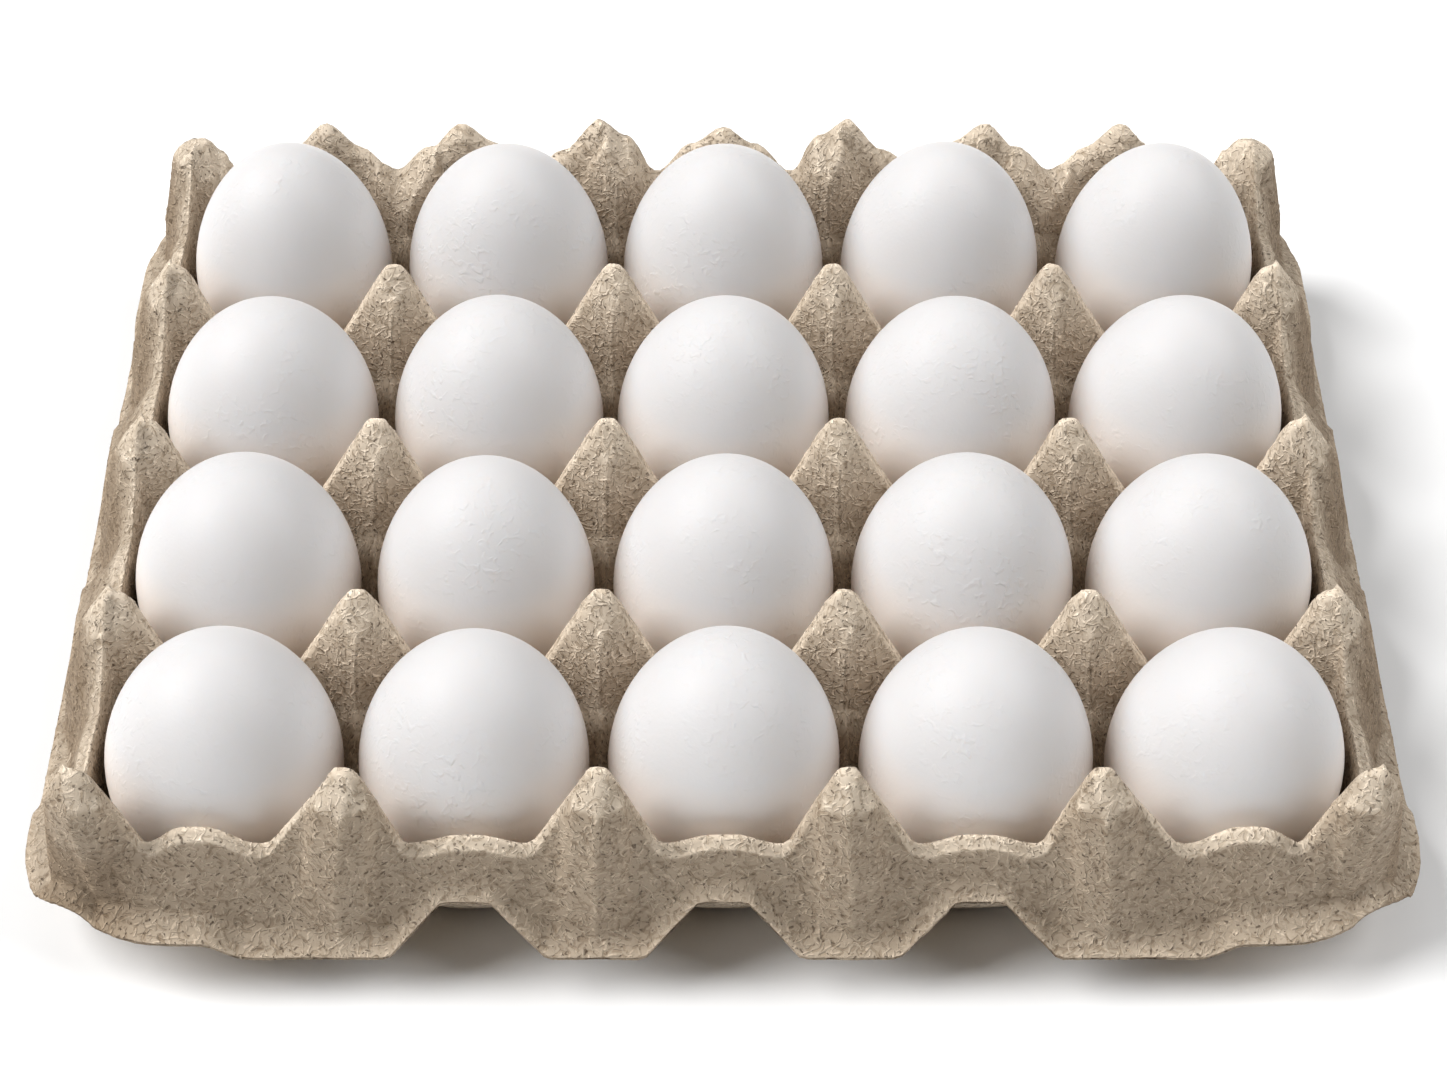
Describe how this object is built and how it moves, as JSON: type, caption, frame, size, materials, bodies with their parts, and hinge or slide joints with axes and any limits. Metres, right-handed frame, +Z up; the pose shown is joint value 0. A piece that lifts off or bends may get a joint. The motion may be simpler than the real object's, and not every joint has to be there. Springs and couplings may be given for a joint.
{
  "type": "egg tray filled with eggs",
  "caption": "Open moulded pulp egg tray with pointed posts between its cups and a scalloped skirt, filled with white eggs standing on end.",
  "frame": {"origin": "centre of the footprint, on the table under the cups", "axes": "+X along a row of five cups, +Y from the front rim to the back rim, +Z up"},
  "size_m": [0.2722, 0.2146, 0.0619],
  "materials": {
    "pulp": "matte moulded paper pulp with fibres",
    "eggshell": "matte white eggshell"
  },
  "bodies": {
    "root": {"tray": "pulp", "egg_r1_c1": "eggshell", "egg_r1_c2": "eggshell", "egg_r1_c3": "eggshell", "egg_r1_c4": "eggshell", "egg_r1_c5": "eggshell", "egg_r2_c1": "eggshell", "egg_r2_c2": "eggshell", "egg_r2_c3": "eggshell", "egg_r2_c4": "eggshell", "egg_r2_c5": "eggshell", "egg_r3_c1": "eggshell", "egg_r3_c2": "eggshell", "egg_r3_c3": "eggshell", "egg_r3_c4": "eggshell", "egg_r3_c5": "eggshell", "egg_r4_c1": "eggshell", "egg_r4_c2": "eggshell", "egg_r4_c3": "eggshell", "egg_r4_c4": "eggshell", "egg_r4_c5": "eggshell"}
  },
  "joints": []
}
